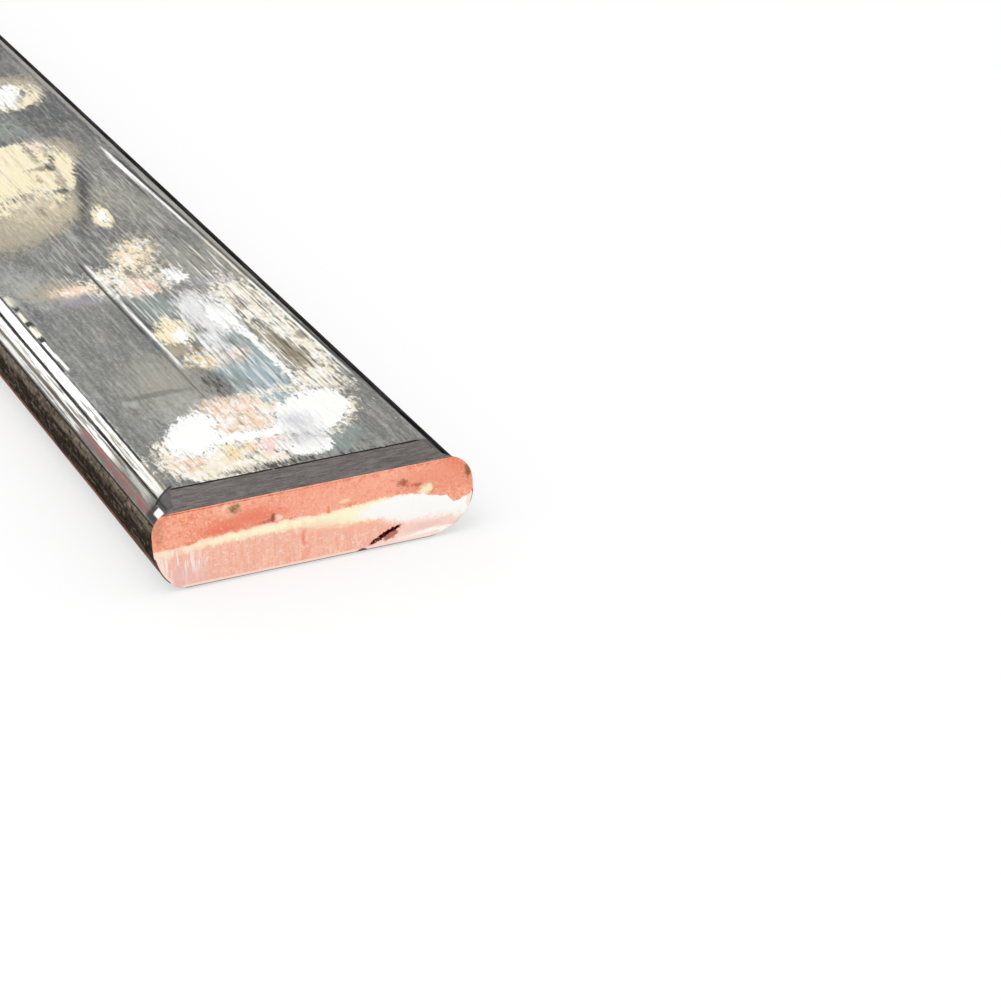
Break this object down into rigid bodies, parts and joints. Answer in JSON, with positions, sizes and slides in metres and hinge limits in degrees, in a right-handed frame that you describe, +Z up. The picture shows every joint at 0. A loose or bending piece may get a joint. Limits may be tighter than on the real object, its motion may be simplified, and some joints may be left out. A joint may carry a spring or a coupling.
{
  "type": "tinned copper busbar",
  "caption": "Flat tinned-copper busbar with rounded edges, one end sheared and showing bare copper, for carrying current between clamped or lapped joints.",
  "frame": {"origin": "on the floor under the middle of the bar, in the plane of its lower broad face", "axes": "+X along the bar's length towards its sheared end, +Y across its width, +Z up through its thickness"},
  "size_m": [1, 0.0406, 0.01],
  "materials": {
    "tinned_face": "polished"
  },
  "bodies": {
    "root": {"busbar": "tinned_face"}
  },
  "joints": []
}
